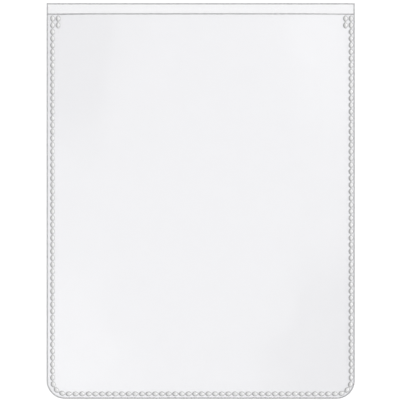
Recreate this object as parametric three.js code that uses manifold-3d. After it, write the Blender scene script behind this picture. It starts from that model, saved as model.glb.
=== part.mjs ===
// A clear vinyl document sleeve: two sheets heat-sealed round three sides, with an open mouth and a lip.
// Millimetres. X runs across the sleeve, Y from its closed bottom to its mouth, and Z up from the
// surface that it lies on. The origin is under the middle of the back sheet.
import * as THREE from 'three';
import { mergeVertices } from 'three/addons/utils/BufferGeometryUtils.js';
import Module from 'manifold-3d';

const wasm = await Module();
wasm.setup();

// Sheets
const sleeveWidth = 236;
const backLength = 303;
const lipLength = 8; // of the back sheet past the mouth
const cornerRadius = 14; // at the two bottom corners
const filmThickness = 0.5; // of each sheet
const edgeBeadWidth = 1.0; // the soft raised rim that cutting leaves along an edge
const edgeBeadHeight = 0.25;

// Pocket, as it stands open after use
const pocketRise = 5.6; // clear height between the sheets in the middle
const shoulderRun = 42; // from the weld to where the front sheet lies level
const shoulderPower = 2.5; // how steeply the front sheet leaves the weld
const mouthTaper = 30; // over which the flat border narrows below the mouth welds

// Seam: a chain of small raised ovals with pointed ends, each running into the next
const ovalPitch = 5.1;
const ovalWidth = 3.7;
const ovalOverlap = 0.2; // past the middle between two ovals
const ovalHeight = 0.65;
const ovalShoulder = 0.27; // share of the width and length that the steep side takes
const ovalShoulderHeight = 0.8; // share of the height
const mouthOvals = 2; // in each mouth weld
const dieShift = 0.75; // how far to the right of the sheets the sealing die landed

// Clearances
const beadClearance = 0.15; // from the edge bead to the nearest oval
const weldGap = 0.5; // between the seam and a mouth weld
const borderClearance = 0.3; // from the innermost oval to where the front sheet starts to rise
const lipBeadGap = 0.3; // from the front sheet's edge to the bead along the lip

// Mesh steps
const arcSteps = 8;
const straightRows = 11;
const halfColumns = 8;
const ovalSteps = 12;
const beadProfile = [[1, 0], [0.8, 0.75], [0.5, 1], [0.2, 0.85], [0, 0.4]]; // shares of width and height

// Levels and edges that follow from these
const backTop = filmThickness;
const borderTop = backTop + filmThickness;
const frontLength = backLength - lipLength;
const right = sleeveWidth / 2;
const bottom = -backLength / 2;
const mouth = bottom + frontLength;
const seamInset = edgeBeadWidth + beadClearance + ovalWidth / 2 + dieShift;
const flatBorder = seamInset + dieShift + ovalWidth / 2 + borderClearance;
const mouthWeldOffset = ovalWidth + weldGap;
const mouthBorder = flatBorder + mouthWeldOffset;
const seamTop = mouth - edgeBeadWidth - beadClearance;
const mouthFlatStart = seamTop - mouthOvals * ovalPitch - 2 * ovalOverlap - borderClearance;

function asManifold(geometry) {
  const bare = geometry.clone();
  bare.deleteAttribute('normal');
  bare.deleteAttribute('uv');
  const merged = mergeVertices(bare, 1e-4);
  const corners = merged.index.array;
  const faces = [];
  for (let i = 0; i < corners.length; i += 3) {
    const [a, b, c] = corners.slice(i, i + 3);
    if (a !== b && b !== c && c !== a) faces.push(a, b, c); // a lathe leaves flat faces on its axis
  }
  return new wasm.Manifold(new wasm.Mesh({
    numProp: 3,
    vertProperties: new Float32Array(merged.attributes.position.array),
    triVerts: new Uint32Array(faces),
  }));
}

function asGeometry(manifold) {
  const mesh = manifold.getMesh();
  const geometry = new THREE.BufferGeometry();
  geometry.setAttribute('position', new THREE.BufferAttribute(mesh.vertProperties, 3));
  geometry.setIndex(new THREE.BufferAttribute(mesh.triVerts, 1));
  geometry.computeVertexNormals();
  return geometry;
}

function indexedGeometry(positions, faces) {
  const geometry = new THREE.BufferGeometry();
  geometry.setAttribute('position', new THREE.Float32BufferAttribute(positions.flat(), 3));
  geometry.setIndex(faces.flat());
  geometry.computeVertexNormals();
  return geometry;
}

// Back sheet, with the bead round its lip

function sheetShape(length) {
  const shape = new THREE.Shape();
  const arcHeight = bottom + cornerRadius;
  shape.moveTo(-right, bottom + length);
  shape.lineTo(-right, arcHeight);
  shape.absarc(-right + cornerRadius, arcHeight, cornerRadius, Math.PI, 1.5 * Math.PI);
  shape.absarc(right - cornerRadius, arcHeight, cornerRadius, 1.5 * Math.PI, 2 * Math.PI);
  shape.lineTo(right, bottom + length);
  shape.closePath();
  return shape;
}

function lipBeadShape() {
  const start = mouth + lipBeadGap;
  const end = bottom + backLength;
  const shape = new THREE.Shape();
  shape.moveTo(-right, start);
  shape.lineTo(-right + edgeBeadWidth, start);
  shape.lineTo(-right + edgeBeadWidth, end - edgeBeadWidth);
  shape.lineTo(right - edgeBeadWidth, end - edgeBeadWidth);
  shape.lineTo(right - edgeBeadWidth, start);
  shape.lineTo(right, start);
  shape.lineTo(right, end);
  shape.lineTo(-right, end);
  shape.closePath();
  return shape;
}

function backSheetGeometry() {
  const sheet = new THREE.ExtrudeGeometry(sheetShape(backLength), {
    depth: filmThickness,
    bevelEnabled: false,
    curveSegments: arcSteps,
  });
  const rounding = edgeBeadHeight / 2;
  const bead = new THREE.ExtrudeGeometry(lipBeadShape(), {
    depth: backTop / 2 + edgeBeadHeight - 2 * rounding,
    bevelThickness: rounding,
    bevelSize: rounding,
    bevelOffset: -rounding,
    bevelSegments: 1,
  });
  bead.translate(0, 0, backTop / 2 + rounding);
  return asGeometry(asManifold(sheet).add(asManifold(bead)));
}

// Front sheet, flat along its welded border and raised over the pocket

function smoothMin(a, b, blend) {
  const overlap = Math.max(blend - Math.abs(a - b), 0);
  return Math.min(a, b) - overlap * overlap / (4 * blend);
}

function borderAt(y) {
  const share = THREE.MathUtils.smoothstep(y, mouthFlatStart - mouthTaper, mouthFlatStart);
  return THREE.MathUtils.lerp(flatBorder, mouthBorder, share);
}

function pocketGap(x, y) {
  const fromSide = right - Math.abs(x) - borderAt(y);
  const fromBottom = y - bottom - flatBorder;
  const cornerBlend = 1.7 * cornerRadius; // keeps the sheet down on its weld round the corners
  const fromWeld = smoothMin(fromSide, fromBottom, cornerBlend);
  const share = THREE.MathUtils.clamp(fromWeld / shoulderRun, 0, 1);
  return pocketRise * (1 - (1 - share) ** shoulderPower);
}

// The right-hand end of a row of the front sheet's grid, drawn in from the sheet's edge by inset
function rowEnd(row, inset) {
  if (row <= arcSteps) {
    const angle = (row / arcSteps - 1) * Math.PI / 2;
    const radius = cornerRadius - inset;
    return {
      x: right - cornerRadius + radius * Math.cos(angle),
      y: bottom + cornerRadius + radius * Math.sin(angle),
    };
  }
  const arcTop = bottom + cornerRadius;
  const share = (row - arcSteps) / straightRows;
  const y = share > 1 ? mouth - inset : THREE.MathUtils.lerp(arcTop, mouthFlatStart, share ** 1.5);
  return { x: right - inset, y };
}

// How far a column lies from the middle, from 0 to 1 at the row's end
function columnShare(column) {
  const fromEnd = Math.min(column, 2 * halfColumns - column);
  const halfWidth = right - flatBorder;
  if (fromEnd === 0) return Math.sign(column - halfColumns);
  const mouthShare = (mouthBorder - flatBorder) / halfWidth;
  const step = ((fromEnd - 1) / (halfColumns - 1)) ** 1.4;
  return Math.sign(column - halfColumns) * (1 - THREE.MathUtils.lerp(mouthShare, 1, step));
}

// Only the two ends of a row spread out with the inset, so that the columns run straight to the mouth
function gridPoint(row, column, inset) {
  const share = columnShare(column);
  const end = rowEnd(row, inset);
  const width = Math.abs(share) === 1 ? end.x : rowEnd(row, flatBorder).x;
  return { x: width * share, y: end.y };
}

// Rows and columns once round the grid, anticlockwise from its bottom left corner
function gridRim(lastRow, lastColumn) {
  const rim = [];
  for (let column = 0; column < lastColumn; column++) rim.push([0, column]);
  for (let row = 0; row < lastRow; row++) rim.push([row, lastColumn]);
  for (let column = lastColumn; column > 0; column--) rim.push([lastRow, column]);
  for (let row = lastRow; row > 0; row--) rim.push([row, 0]);
  return rim;
}

function frontSheetGeometry() {
  const lastRow = arcSteps + straightRows + 1;
  const lastColumn = 2 * halfColumns;
  const rim = gridRim(lastRow, lastColumn);
  const positions = [];
  const faces = [];

  const addPoint = (point, thickness) => {
    positions.push([point.x, point.y, backTop + pocketGap(point.x, point.y) + thickness]);
    return positions.length - 1;
  };
  const addQuad = (a, b, c, d) => faces.push([a, b, c], [a, c, d]);
  const addStrip = (inner, outer) => inner.forEach((start, i) => {
    const next = (i + 1) % inner.length;
    addQuad(start, outer[i], outer[next], inner[next]);
  });
  const addFace = (thickness) => {
    const grid = [];
    for (let row = 0; row <= lastRow; row++) {
      grid.push([]);
      for (let column = 0; column <= lastColumn; column++) {
        grid[row].push(addPoint(gridPoint(row, column, flatBorder), thickness));
      }
    }
    return grid;
  };
  const addLoop = (inset, thickness) => rim.map(([row, column]) => (
    addPoint(gridPoint(row, column, inset), thickness)));

  const upper = addFace(filmThickness);
  const lower = addFace(0);
  for (let row = 0; row < lastRow; row++) {
    for (let column = 0; column < lastColumn; column++) {
      addQuad(upper[row][column], upper[row][column + 1], upper[row + 1][column + 1], upper[row + 1][column]);
      addQuad(lower[row][column], lower[row + 1][column], lower[row + 1][column + 1], lower[row][column + 1]);
    }
  }

  let loop = rim.map(([row, column]) => upper[row][column]);
  for (const [widthShare, heightShare] of beadProfile) {
    const next = addLoop(widthShare * edgeBeadWidth, filmThickness + heightShare * edgeBeadHeight);
    addStrip(loop, next);
    loop = next;
  }
  const lowerLoop = addLoop(0, 0);
  addStrip(loop, lowerLoop);
  addStrip(lowerLoop, rim.map(([row, column]) => lower[row][column]));
  return indexedGeometry(positions, faces);
}

// Welds

// Draws the ends of a round form along X out to points, so that seen from above it is a lens
function pointEnds(geometry) {
  const place = geometry.attributes.position;
  for (let i = 0; i < place.count; i++) {
    const radius = Math.hypot(place.getX(i), place.getY(i)) || 1;
    place.setY(i, place.getY(i) * Math.abs(place.getY(i)) / radius);
  }
}

// One oval: a low crowned pillow with steep sides, its long axis along the given direction
function ovalPillow(centre, direction, pitch) {
  const profile = [
    new THREE.Vector2(0, 0),
    new THREE.Vector2(1, 0),
    new THREE.Vector2(1 - ovalShoulder, ovalShoulderHeight),
    new THREE.Vector2(0, 1),
  ];
  const pillow = new THREE.LatheGeometry(profile, ovalSteps);
  pillow.rotateX(Math.PI / 2);
  pointEnds(pillow);
  pillow.scale(pitch / 2 + ovalOverlap, ovalWidth / 2, ovalHeight);
  pillow.rotateZ(direction.angle());
  pillow.translate(centre.x, centre.y, borderTop);
  return pillow;
}

function ovalChain(path, count) {
  const pitch = path.getLength() / count;
  const pillows = [];
  for (let i = 0; i < count; i++) {
    const middle = (i + 0.5) / count;
    const reach = 0.5 / count;
    const direction = path.getPoint(middle + reach).sub(path.getPoint(middle - reach)).normalize();
    pillows.push(asManifold(ovalPillow(path.getPoint(middle), direction, pitch)));
  }
  return asGeometry(wasm.Manifold.union(pillows));
}

function seamPath() {
  const side = right - seamInset;
  const radius = cornerRadius - seamInset;
  const arcHeight = bottom + cornerRadius;
  const path = new THREE.Path();
  path.moveTo(dieShift - side, seamTop - ovalOverlap);
  path.lineTo(dieShift - side, arcHeight);
  path.absarc(dieShift - side + radius, arcHeight, radius, Math.PI, 1.5 * Math.PI);
  path.absarc(dieShift + side - radius, arcHeight, radius, 1.5 * Math.PI, 2 * Math.PI);
  path.lineTo(dieShift + side, seamTop - ovalOverlap);
  return path;
}

function mouthWeldPath(x) {
  const path = new THREE.Path();
  const start = seamTop - ovalOverlap;
  path.moveTo(x, start);
  path.lineTo(x, start - mouthOvals * ovalPitch);
  return path;
}

// Materials and assembly

function vinyl(opacity, roughness) {
  return new THREE.MeshStandardMaterial({
    color: 0xf1f1f4,
    roughness,
    metalness: 0,
    transparent: true,
    opacity,
  });
}

function namedMesh(name, geometry, material) {
  const mesh = new THREE.Mesh(geometry, material);
  mesh.name = name;
  return mesh;
}

const seam = seamPath();
const seamOvals = Math.round(seam.getLength() / ovalPitch);
const seamSide = right - seamInset;

const sleeve = new THREE.Group();
sleeve.add(namedMesh('back_sheet', backSheetGeometry(), vinyl(0.45, 0.2)));
sleeve.add(namedMesh('front_sheet', frontSheetGeometry(), vinyl(0.35, 0.2)));
sleeve.add(namedMesh('seam_weld', ovalChain(seam, seamOvals), vinyl(0.8, 0.35)));
for (const [name, x] of [
  ['left_mouth_weld', dieShift - seamSide + mouthWeldOffset],
  ['right_mouth_weld', dieShift + seamSide - mouthWeldOffset],
]) {
  sleeve.add(namedMesh(name, ovalChain(mouthWeldPath(x), mouthOvals), vinyl(0.8, 0.35)));
}

export default sleeve;
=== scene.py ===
"""A clear vinyl document sleeve lying on a white table, seen from straight above. Metres."""
import math

import bpy
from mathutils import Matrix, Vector, noise


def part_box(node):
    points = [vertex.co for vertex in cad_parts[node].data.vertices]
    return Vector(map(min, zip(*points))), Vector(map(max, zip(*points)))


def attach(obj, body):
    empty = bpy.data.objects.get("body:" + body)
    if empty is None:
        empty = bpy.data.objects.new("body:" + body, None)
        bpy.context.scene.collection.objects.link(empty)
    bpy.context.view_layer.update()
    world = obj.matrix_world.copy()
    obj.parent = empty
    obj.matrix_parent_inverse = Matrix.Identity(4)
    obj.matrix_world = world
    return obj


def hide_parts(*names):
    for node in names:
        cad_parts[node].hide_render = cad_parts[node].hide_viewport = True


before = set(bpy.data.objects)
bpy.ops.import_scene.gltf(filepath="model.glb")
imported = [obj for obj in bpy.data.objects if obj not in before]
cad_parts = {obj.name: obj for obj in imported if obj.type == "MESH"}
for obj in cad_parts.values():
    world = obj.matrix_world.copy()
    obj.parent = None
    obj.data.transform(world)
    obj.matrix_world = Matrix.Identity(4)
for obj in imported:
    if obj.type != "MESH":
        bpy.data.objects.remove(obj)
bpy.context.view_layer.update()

# Sheets: places from the frame, then the sizes that its boxes don't tell
BACK_LOW, BACK_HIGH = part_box("back_sheet")
FRONT_LOW, FRONT_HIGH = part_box("front_sheet")
SEAM_LOW, SEAM_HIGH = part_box("seam_weld")
LEFT_WELD_LOW, LEFT_WELD_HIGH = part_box("left_mouth_weld")
RIGHT_WELD_LOW, RIGHT_WELD_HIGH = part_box("right_mouth_weld")
HALF_WIDTH = BACK_HIGH.x
BOTTOM = BACK_LOW.y
TOP = BACK_HIGH.y
MOUTH = FRONT_HIGH.y
BACK_TOP = FRONT_LOW.z
CORNER_RADIUS = 0.014
CORNER_END = BOTTOM + CORNER_RADIUS  # height where the straight sides start
FILM = 0.0005
BEAD_WIDTH = 0.001
BEAD_HEIGHT = 0.00025
LIP_BEAD_START = MOUTH + 0.0002  # the back sheet has its bead only past the front sheet
LIP_BEAD_FULL = MOUTH + 0.0006
LIFT = 0.00002  # keeps one clear surface off the next

# Pocket
POCKET_RISE = FRONT_HIGH.z - BACK_TOP - FILM - BEAD_HEIGHT
SHOULDER_RUN = 0.042
SHOULDER_POWER = 2.5
MOUTH_TAPER = 0.030
CORNER_BLEND = 1.7 * CORNER_RADIUS  # over which the side's shoulder blends into the bottom's
FREE_SHARE = 0.8  # share of the pocket's rise from which the film waves at its full height
WAVE_HEIGHT = 0.00011
WAVES = [  # noise cells a metre across and up the sheet, slice through the noise, strength
    (14, 10, 3.7, 1.2),
    (34, 27, 8.1, 0.3),
]

# Seam and mouth welds
OVAL_PITCH = 0.0051
OVAL_WIDTH = LEFT_WELD_HIGH.x - LEFT_WELD_LOW.x
OVAL_OVERLAP = 0.0002
OVAL_HEIGHT = SEAM_HIGH.z - SEAM_LOW.z
OVAL_CROWN = 4  # power of the pillow's profile: higher is flatter on top and steeper at the side
OVAL_FOOT = 0.84  # share of the width and length where the pillow stands on its thin flange
OVAL_END = 0.99  # share of the half length where a chain's mesh ends, just short of the point
FLANGE = 0.00005
WELD_BASE = FRONT_LOW.z + FILM + 2 * LIFT
MOUTH_OVALS = 2
RIM_SHADE_START = 0.6  # share of the width and length where the painted shade of the steep side starts, full at the foot
TIP_FADE = 0.3  # how much of that painted shade is lost at an oval's points
TIP_FADE_START = 0.5  # share of the half length where the loss starts
TIP_FADE_FULL = 0.95
BORDER_CLEARANCE = 0.0003
FLAT_BORDER = SEAM_LOW.x + OVAL_WIDTH + HALF_WIDTH + BORDER_CLEARANCE
MOUTH_BORDER = LEFT_WELD_HIGH.x + HALF_WIDTH + BORDER_CLEARANCE
MOUTH_FLAT_START = LEFT_WELD_LOW.y - BORDER_CLEARANCE

# Fine mesh
ARC_STEPS = 16
FRONT_ROWS = 72
FRONT_HALF_COLUMNS = 36
BACK_ROWS = 24
BACK_HALF_COLUMNS = 12
COLUMN_CROWDING = 1.3  # power that crowds the columns toward the sides when it is above 1
BEAD_STEPS = 8
OVAL_STEPS = 16
ACROSS_SHARES = [0, 0.35, RIM_SHADE_START, 0.73, OVAL_FOOT, 1]  # from an oval's middle line to its outline
SHARP_ANGLE = math.radians(50)
FILM_SLOT = 0  # places in a sheet's list of materials
EDGE_SLOT = 1

# Vinyl and studio. Nearly all the tint is in the back sheet, since the lip is as grey as the pocket
VINYL_IOR = 1.5
BACK_TINT = (0.86, 0.86, 0.873)
FRONT_TINT = (0.993, 0.993, 1.0)
KEY_TOWARD = Vector((0.86, 0.18, 0.47)).normalized()
KEY_SPREAD = math.radians(30)  # how wide the lamp looks from the table
KEY_POWER = 2.91
GLOW_LEVEL = 2.0
CEILING_LEVEL = 0.8
CEILING_GAIN = 0.3  # what the bright diagonal has over that level
CEILING_LOSS = 0.78  # what the grey parts beside it have under that level
LOW_SKY_LEVEL = 0.4
HORIZON_LEVEL = 1.0
FLOOR_REACH = 60
FLOOR_DROP = 0.0001  # keeps the floor off the back sheet


def smooth_step(value, low, high):
    """0 as far as low, 1 from high on, and a soft slope between them."""
    share = min(max((value - low) / (high - low), 0), 1)
    return share * share * (3 - 2 * share)


def smooth_min(first, second, blend):
    """The lesser of two lengths, rounded off where they are within blend of each other."""
    overlap = max(blend - abs(first - second), 0)
    return min(first, second) - overlap * overlap / (4 * blend)


def pocket_gap(x, y):
    """Clear height between the sheets, 0 over the welded border."""
    widening = smooth_step(y, MOUTH_FLAT_START - MOUTH_TAPER, MOUTH_FLAT_START)
    border = FLAT_BORDER + (MOUTH_BORDER - FLAT_BORDER) * widening
    from_side = HALF_WIDTH - abs(x) - border
    from_bottom = y - BOTTOM - FLAT_BORDER
    from_weld = smooth_min(from_side, from_bottom, CORNER_BLEND)
    share = min(max(from_weld / SHOULDER_RUN, 0), 1)
    return POCKET_RISE * (1 - (1 - share) ** SHOULDER_POWER)


def film_wave(x, y):
    """A slow unevenness in a sheet that isn't held flat, from about -1 to 1."""
    return sum(strength * noise.noise(Vector((x * across, y * up, depth)))
               for across, up, depth, strength in WAVES)


def bead_height(inset):
    """Height of the soft rim along a cut edge, at a distance in from the edge."""
    across = 2 * inset / BEAD_WIDTH - 1
    return BEAD_HEIGHT * math.sqrt(max(1 - across * across, 0))


def even_rows(count, end):
    """Heights of as many even rows above the bottom corners, the last of them at end."""
    return [CORNER_END + (end - CORNER_END) * i / count for i in range(1, count + 1)]


def finished_mesh(name, points, faces, slots=None):
    mesh = bpy.data.meshes.new(name)
    mesh.from_pydata(points, [], faces)
    if slots:
        mesh.polygons.foreach_set("material_index", slots)
    mesh.shade_smooth()
    mesh.set_sharp_from_angle(angle=SHARP_ANGLE)
    mesh.update()
    return mesh


class SheetGrid:
    """Rows and columns over a sheet with two rounded bottom corners, and loops round its rim."""

    def __init__(self, top, straight_rows, half_columns):
        self.top = top
        self.straight = straight_rows
        self.half_columns = half_columns
        self.last_row = ARC_STEPS + len(straight_rows) + 1
        self.last_column = 2 * half_columns

    def row_end(self, row, inset):
        """Right end of a row, at a distance in from the outline."""
        if row <= ARC_STEPS:
            angle = (row / ARC_STEPS - 1) * math.pi / 2
            radius = CORNER_RADIUS - inset
            x = HALF_WIDTH - CORNER_RADIUS + radius * math.cos(angle)
            return x, CORNER_END + radius * math.sin(angle)
        if row == self.last_row:
            return HALF_WIDTH - inset, self.top - inset
        return HALF_WIDTH - inset, self.straight[row - ARC_STEPS - 1]

    def column_share(self, column):
        """Where a column crosses its row, from -1 at the left end to 1 at the right."""
        share = abs(column / self.half_columns - 1)
        return math.copysign(1 - (1 - share) ** COLUMN_CROWDING, column - self.half_columns)

    def point(self, row, column, inset):
        """A point of the grid. Only the outer columns move sideways with the distance in."""
        share = self.column_share(column)
        end_x, y = self.row_end(row, inset)
        width = end_x if column in (0, self.last_column) else self.row_end(row, FLAT_BORDER)[0]
        return width * share, y

    def rim(self):
        """Rows and columns of the grid's outer points, once round from the bottom left."""
        columns, rows = self.last_column, self.last_row
        bottom = [(0, c) for c in range(columns)]
        right = [(r, columns) for r in range(rows)]
        top = [(rows, c) for c in range(columns, 0, -1)]
        left = [(r, 0) for r in range(rows, 0, -1)]
        return bottom + right + top + left


def sheet_mesh(name, grid, under, bead_at):
    """A closed sheet over a grid, with a soft bead round the upper side of its rim.

    under(x, y) is the height of its lower face, and bead_at(y) the share of the bead's full height.
    """
    points, faces, slots = [], [], []
    rim = grid.rim()

    def add_point(x, y, thickness):
        points.append((x, y, under(x, y) + thickness))
        return len(points) - 1

    def add_face(face, slot):
        faces.append(face)
        slots.append(slot)

    def add_strip(inner, outer, slot):
        for i, start in enumerate(inner):
            after = (i + 1) % len(inner)
            add_face((start, outer[i], outer[after], inner[after]), slot)

    def add_grid(thickness):
        return [[add_point(*grid.point(row, column, FLAT_BORDER), thickness)
                 for column in range(grid.last_column + 1)]
                for row in range(grid.last_row + 1)]

    def add_upper_loop(inset):
        loop = []
        for row, column in rim:
            x, y = grid.point(row, column, inset)
            loop.append(add_point(x, y, FILM + bead_height(inset) * bead_at(y)))
        return loop

    def add_lower_loop(inset):
        return [add_point(*grid.point(row, column, inset), 0) for row, column in rim]

    upper = add_grid(FILM)
    lower = add_grid(0)
    for row in range(grid.last_row):
        for column in range(grid.last_column):
            here, beside = (row, column), (row, column + 1)
            above, across = (row + 1, column), (row + 1, column + 1)
            add_face([upper[r][c] for r, c in (here, beside, across, above)], FILM_SLOT)
            add_face([lower[r][c] for r, c in (here, above, across, beside)], FILM_SLOT)
    loop = [upper[row][column] for row, column in rim]
    for step in range(BEAD_STEPS + 1):
        turn = math.pi * step / BEAD_STEPS
        following = add_upper_loop(BEAD_WIDTH * (1 + math.cos(turn)) / 2)
        add_strip(loop, following, EDGE_SLOT if step else FILM_SLOT)
        loop = following
    lower_edge = add_lower_loop(0)
    add_strip(loop, lower_edge, EDGE_SLOT)
    lower_loop = add_lower_loop(BEAD_WIDTH)
    add_strip(lower_edge, lower_loop, EDGE_SLOT)
    add_strip(lower_loop, [lower[row][column] for row, column in rim], FILM_SLOT)
    return finished_mesh(name, points, faces, slots)


def back_sheet():
    def bead_at(y):
        return smooth_step(y, LIP_BEAD_START, LIP_BEAD_FULL)

    rows = [*even_rows(BACK_ROWS, MOUTH), LIP_BEAD_START, LIP_BEAD_FULL]
    grid = SheetGrid(TOP, rows, BACK_HALF_COLUMNS)
    return sheet_mesh("back_film", grid, lambda x, y: 0, bead_at)


def front_sheet():
    def under(x, y):
        gap = pocket_gap(x, y)
        free = smooth_step(gap / POCKET_RISE, 0, FREE_SHARE)
        return BACK_TOP + LIFT + gap + WAVE_HEIGHT * film_wave(x, y) * free

    grid = SheetGrid(MOUTH, even_rows(FRONT_ROWS, MOUTH_FLAT_START), FRONT_HALF_COLUMNS)
    return sheet_mesh("front_film", grid, under, lambda y: 1)


class Run:
    """A line of welds made of straight stretches and quarter turns, measured along its length."""

    def __init__(self, x, y, heading):
        self.stretches = []
        self.end = Vector((x, y))
        self.heading = heading
        self.length = 0

    def straight(self, length):
        start, heading = self.end, self.heading
        direction = Vector((math.cos(heading), math.sin(heading)))
        self.stretches.append((self.length, lambda s: (start + direction * s, heading)))
        self.end = start + direction * length
        self.length += length
        return self

    def left_turn(self, radius):
        heading = self.heading
        centre = self.end + radius * Vector((-math.sin(heading), math.cos(heading)))

        def place(s):
            now = heading + s / radius
            return centre + radius * Vector((math.sin(now), -math.cos(now))), now

        length = radius * math.pi / 2
        self.stretches.append((self.length, place))
        self.end, self.heading = place(length)
        self.length += length
        return self

    def at(self, s):
        """Place and heading at a length along the run. A little past either end it goes straight on."""
        start, place = [stretch for stretch in self.stretches if stretch[0] <= max(s, 0)][-1]
        return place(s - start)


def seam_run():
    left = SEAM_LOW.x + OVAL_WIDTH / 2
    right = SEAM_HIGH.x - OVAL_WIDTH / 2
    low = SEAM_LOW.y + OVAL_WIDTH / 2
    start = SEAM_HIGH.y - OVAL_OVERLAP
    radius = CORNER_RADIUS - (low - BOTTOM)
    run = Run(left, start, -math.pi / 2)
    run.straight(start - low - radius).left_turn(radius)
    run.straight(right - left - 2 * radius).left_turn(radius)
    return run.straight(start - low - radius)


def mouth_run(low, high):
    start = high.y - OVAL_OVERLAP
    return Run((low.x + high.x) / 2, start, -math.pi / 2).straight(MOUTH_OVALS * OVAL_PITCH)


def oval_reach(along, across):
    """How far out from the middle of an oval with pointed ends a point lies, 1 at its outline."""
    return (across + math.sqrt(across * across + 4 * along * along)) / 2


def oval_top(reach):
    """Height of an oval's upper side: a crowned pillow on a thin flange."""
    flange = FLANGE * min((1 - reach) / (1 - OVAL_FOOT), 1)
    rise = 1 - min(reach / OVAL_FOOT, 1) ** OVAL_CROWN
    return WELD_BASE + flange + (OVAL_HEIGHT - FLANGE) * rise


def chain_stations(length, count, tip):
    """Cross sections of a chain of ovals, each as its oval's middle and the distance on from there."""
    pitch = length / count
    stations = [(pitch / 2, -tip)]
    for oval in range(count):
        first_step = 1 if oval else 0
        for step in range(first_step, OVAL_STEPS + 1):
            stations.append(((oval + 0.5) * pitch, (step / OVAL_STEPS - 0.5) * pitch))
    stations.append((length - pitch / 2, tip))
    return stations


def chain_faces(stations, row):
    """Faces of a closed bar through its cross sections, each with as many points as row says."""
    faces = []
    last = stations - 1
    for station in range(last):
        here = station * row
        beyond = here + row
        for k in range(row - 1):
            faces.append((here + k + 1, beyond + k + 1, beyond + k, here + k))
        faces.append((here, beyond, beyond + row - 1, here + row - 1))
    faces.append(tuple(range(row)))
    end = last * row
    faces.append(tuple(range(end + row - 1, end - 1, -1)))
    return faces


def pillow_chain(name, run):
    """One closed mesh of ovals along a run, each a crowned pillow that runs into the next."""
    count = round(run.length / OVAL_PITCH)
    half_length = run.length / count / 2 + OVAL_OVERLAP
    stations = chain_stations(run.length, count, OVAL_END * half_length)
    across_shares = [-share for share in ACROSS_SHARES[:0:-1]] + ACROSS_SHARES
    points, rim_shade_values = [], []
    for middle, offset in stations:
        along = offset / half_length
        narrowing = 1 - along * along
        near_tip = smooth_step(abs(along), TIP_FADE_START, TIP_FADE_FULL)
        place, heading = run.at(middle + offset)
        side = Vector((-math.sin(heading), math.cos(heading)))
        for share in across_shares:
            reach = oval_reach(along, abs(share) * narrowing)
            spot = place + side * (share * narrowing * OVAL_WIDTH / 2)
            points.append((spot.x, spot.y, oval_top(reach)))
            # Painted shade: the rim value greys each oval's steep side in its base colour, less so near
            # its points.
            rim_shade_values.append(smooth_step(reach, RIM_SHADE_START, OVAL_FOOT) * (1 - TIP_FADE * near_tip))
    mesh = finished_mesh(name, points, chain_faces(len(stations), len(across_shares)))
    # The rim attribute carries that painted shade to the weld material.
    rim = mesh.attributes.new("rim", "FLOAT", "POINT")
    rim.data.foreach_set("value", rim_shade_values)
    return mesh


class Nodes:
    """Short calls for making the nodes of a material or of the world."""

    def __init__(self, owner, output_kind):
        owner.use_nodes = True
        self.tree = owner.node_tree
        self.tree.nodes.clear()
        self.output = self.add(output_kind)

    def add(self, kind, **settings):
        node = self.tree.nodes.new("ShaderNode" + kind)
        for key, value in settings.items():
            setattr(node, key, value)
        return node

    def link(self, source, target):
        self.tree.links.new(source, target)

    def ray(self, kind):
        return self.add("LightPath").outputs[kind]

    def noise(self, scale, detail=2.0):
        node = self.add("TexNoise")
        node.inputs["Scale"].default_value = scale
        node.inputs["Detail"].default_value = detail
        self.link(self.add("TexCoord").outputs["Object"], node.inputs["Vector"])
        return node.outputs["Fac"]

    def mapped(self, source, given, wanted, interpolation="LINEAR"):
        """Turns the range given into the range wanted."""
        node = self.add("MapRange", interpolation_type=interpolation)
        sockets = ("From Min", "From Max", "To Min", "To Max")
        for socket, value in zip(sockets, (*given, *wanted)):
            node.inputs[socket].default_value = value
        self.link(source, node.inputs["Value"])
        return node.outputs["Result"]

    def combined(self, operation, first, second):
        """A sum, product or the like of two values, each a number or another node's output."""
        node = self.add("Math", operation=operation)
        for socket, value in zip(node.inputs, (first, second)):
            if isinstance(value, (int, float)):
                socket.default_value = value
            else:
                self.link(value, socket)
        return node.outputs["Value"]

    def blend(self, factor, first, second):
        node = self.add("Mix", data_type="RGBA")
        self.link(factor, node.inputs["Factor"])
        for key, colour in (("A", first), ("B", second)):
            socket = next(i for i in node.inputs if i.name == key and i.type == "RGBA")
            socket.default_value = (*colour, 1)
        return next(o for o in node.outputs if o.type == "RGBA")

    def bump(self, height, strength, distance):
        node = self.add("Bump")
        node.inputs["Strength"].default_value = strength
        node.inputs["Distance"].default_value = distance
        self.link(height, node.inputs["Height"])
        return node.outputs["Normal"]

    def see_through(self, surface, passed):
        """Lets light from lamps and from the table through a clear surface, tinted by passed."""
        for kind in ("Is Shadow Ray", "Is Diffuse Ray"):
            clear = self.add("BsdfTransparent")
            clear.inputs["Color"].default_value = (*passed, 1)
            mix = self.add("MixShader")
            self.link(self.ray(kind), mix.inputs["Fac"])
            self.link(surface, mix.inputs[1])
            self.link(clear.outputs["BSDF"], mix.inputs[2])
            surface = mix.outputs["Shader"]
        self.link(surface, self.output.inputs["Surface"])


def film_material(name, tint):
    """Clear vinyl with a faint haze and the slight orange peel of its rollers."""
    material = bpy.data.materials.new(name)
    n = Nodes(material, "OutputMaterial")
    film = n.add("BsdfPrincipled")
    film.inputs["Base Color"].default_value = (*tint, 1)
    film.inputs["Transmission Weight"].default_value = 1.0
    film.inputs["IOR"].default_value = VINYL_IOR
    haze = n.mapped(n.noise(scale=38), given=(0.35, 0.65), wanted=(0.015, 0.05))
    n.link(haze, film.inputs["Roughness"])
    peel = n.bump(n.noise(scale=420, detail=1), strength=0.015, distance=0.0002)
    n.link(peel, film.inputs["Normal"])
    n.see_through(film.outputs["BSDF"], passed=(0.99, 0.99, 0.99))
    return material


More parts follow.
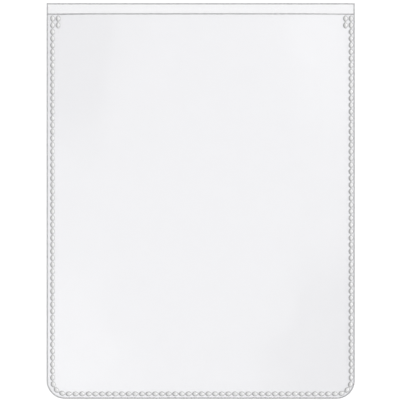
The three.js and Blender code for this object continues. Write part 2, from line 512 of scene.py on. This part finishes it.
def edge_material():
    """The cut edge of the vinyl, painted grey as shade: its base colour stands in for the grey that light
    running along inside the clear sheet gives the edge.
    """
    material = bpy.data.materials.new("cut_edge")
    n = Nodes(material, "OutputMaterial")
    edge = n.add("BsdfPrincipled")
    # Painted shade: the grey base colour stands in for the grey look of the clear cut edge.
    painted_shade = n.blend(n.noise(scale=260), (0.42, 0.42, 0.43), (0.5, 0.5, 0.51))
    n.link(painted_shade, edge.inputs["Base Color"])
    edge.inputs["Transmission Weight"].default_value = 0.35
    edge.inputs["IOR"].default_value = VINYL_IOR
    scuffs = n.mapped(n.noise(scale=900), given=(0.3, 0.7), wanted=(0.2, 0.4))
    n.link(scuffs, edge.inputs["Roughness"])
    n.see_through(edge.outputs["BSDF"], passed=(0.96, 0.96, 0.96))
    return material


def weld_material():
    """Heat-sealed vinyl, clearer on the crown of each oval and milkier on its steep side, where a darker
    grey is painted shade.
    """
    material = bpy.data.materials.new("weld_vinyl")
    n = Nodes(material, "OutputMaterial")
    weld = n.add("BsdfPrincipled")
    rim = n.add("Attribute", attribute_name="rim").outputs["Fac"]
    # Painted shade: the steep side of each oval is painted a darker grey, for the dark look of a steep
    # clear side.
    painted_shade = n.blend(rim, (0.84, 0.84, 0.84), (0.34, 0.34, 0.34))
    n.link(painted_shade, weld.inputs["Base Color"])
    clearness = n.mapped(rim, given=(0, 1), wanted=(0.3, 0.1))
    n.link(clearness, weld.inputs["Transmission Weight"])
    weld.inputs["IOR"].default_value = VINYL_IOR
    grain = n.mapped(n.noise(scale=700), given=(0.3, 0.7), wanted=(0.35, 0.5))
    n.link(grain, weld.inputs["Roughness"])
    n.see_through(weld.outputs["BSDF"], passed=(0.93, 0.93, 0.94))
    return material


def add_piece(mesh, materials, node):
    piece = bpy.data.objects.new(mesh.name, mesh)
    bpy.context.scene.collection.objects.link(piece)
    for material in materials:
        mesh.materials.append(material)
    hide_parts(node)
    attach(piece, "root")
    return piece


def make_sleeve():
    edge, weld = edge_material(), weld_material()
    back_vinyl = film_material("back_vinyl", BACK_TINT)
    front_vinyl = film_material("front_vinyl", FRONT_TINT)
    back = add_piece(back_sheet(), [back_vinyl, edge], "back_sheet")
    front = add_piece(front_sheet(), [front_vinyl, edge], "front_sheet")
    add_piece(pillow_chain("seam_ovals", seam_run()), [weld], "seam_weld")
    left = mouth_run(LEFT_WELD_LOW, LEFT_WELD_HIGH)
    right = mouth_run(RIGHT_WELD_LOW, RIGHT_WELD_HIGH)
    add_piece(pillow_chain("left_mouth_ovals", left), [weld], "left_mouth_weld")
    add_piece(pillow_chain("right_mouth_ovals", right), [weld], "right_mouth_weld")


def floor_material():
    """White paper: a plain level under the lamp, lifted to white for rays that see it as background."""
    material = bpy.data.materials.new("white_floor")
    n = Nodes(material, "OutputMaterial")
    paper = n.add("BsdfPrincipled")
    paper.inputs["Base Color"].default_value = (0.86, 0.86, 0.86, 1)
    paper.inputs["Roughness"].default_value = 0.9
    paper.inputs["Specular IOR Level"].default_value = 0
    seen = n.ray("Is Camera Ray")
    for kind in ("Is Glossy Ray", "Is Transmission Ray"):
        seen = n.combined("MAXIMUM", seen, n.ray(kind))
    lift = n.add("Emission")
    lift.inputs["Color"].default_value = (0.13, 0.13, 0.13, 1)
    n.link(seen, lift.inputs["Strength"])
    total = n.add("AddShader")
    n.link(paper.outputs["BSDF"], total.inputs[0])
    n.link(lift.outputs["Emission"], total.inputs[1])
    n.link(total.outputs["Shader"], n.output.inputs["Surface"])
    return material


def make_floor():
    far = FLOOR_REACH
    corners = [(-far, -far, 0), (far, -far, 0), (far, far, 0), (-far, far, 0)]
    mesh = finished_mesh("floor", corners, [(0, 1, 2, 3)])
    mesh.materials.append(floor_material())
    floor = bpy.data.objects.new("floor", mesh)
    floor.location.z = -FLOOR_DROP
    bpy.context.scene.collection.objects.link(floor)


def make_studio():
    """A white studio whose ceiling is bright along one diagonal and greyer to both sides of it."""
    world = bpy.data.worlds.new("studio")
    bpy.context.scene.world = world
    n = Nodes(world, "OutputWorld")
    direction = n.add("TexCoord").outputs["Generated"]

    def along(axis):
        """Cosine between the direction looked in and an axis."""
        node = n.add("VectorMath", operation="DOT_PRODUCT")
        n.link(direction, node.inputs[0])
        node.inputs[1].default_value = axis
        return node.outputs["Value"]

    def soft(source, given, wanted):
        return n.mapped(source, given, wanted, "SMOOTHSTEP")

    x, y, height = along((1, 0, 0)), along((0, 1, 0)), along((0, 0, 1))
    lean = n.combined("ADD", n.combined("ABSOLUTE", x, 0), n.combined("ABSOLUTE", y, 0))
    softness = 0.007  # rounds the pattern off straight overhead
    corner = n.combined("DIVIDE", n.combined("MULTIPLY", x, y), n.combined("ADD", lean, softness))
    gain = soft(corner, given=(0.004, 0.034), wanted=(0, CEILING_GAIN))
    loss = soft(corner, given=(-0.004, -0.036), wanted=(0, CEILING_LOSS))
    ceiling = n.combined("ADD", CEILING_LEVEL, n.combined("SUBTRACT", gain, loss))
    overhead = soft(height, given=(0.62, 0.78), wanted=(0, 1))
    low_sky = soft(height, given=(0.1, 0.35), wanted=(HORIZON_LEVEL, LOW_SKY_LEVEL))
    sky = n.combined("MAXIMUM", n.combined("MULTIPLY", ceiling, overhead), low_sky)
    glow = soft(along(KEY_TOWARD), given=(0.9, 0.99), wanted=(0, GLOW_LEVEL))
    background = n.add("Background")
    background.inputs["Color"].default_value = (1, 1, 1, 1)
    n.link(n.combined("ADD", sky, glow), background.inputs["Strength"])
    n.link(background.outputs["Background"], n.output.inputs["Surface"])


def make_key_lamp():
    """A far, soft lamp that lights the whole table alike. Its highlight is the studio's glow round it."""
    light = bpy.data.lights.new("key", "SUN")
    light.angle = KEY_SPREAD
    light.energy = KEY_POWER
    lamp = bpy.data.objects.new("key", light)
    lamp.rotation_euler = KEY_TOWARD.to_track_quat("Z", "Y").to_euler()
    lamp.visible_glossy = False
    bpy.context.scene.collection.objects.link(lamp)


def make_camera():
    """Straight above, far enough away for the outline to stay square."""
    seen_width = 0.3064  # across the picture, at the table
    centre = Vector((-0.0006, 0.0007, 0))  # the picture's middle on the table
    distance = 3.0
    camera = bpy.data.cameras.new("camera")
    camera.sensor_width = 36
    camera.lens = camera.sensor_width * distance / seen_width
    holder = bpy.data.objects.new("camera", camera)
    holder.location = centre + Vector((0, 0, distance))
    bpy.context.scene.collection.objects.link(holder)
    bpy.context.scene.camera = holder


make_sleeve()
make_floor()
make_studio()
make_key_lamp()
make_camera()
bpy.context.scene.view_settings.view_transform = "Standard"
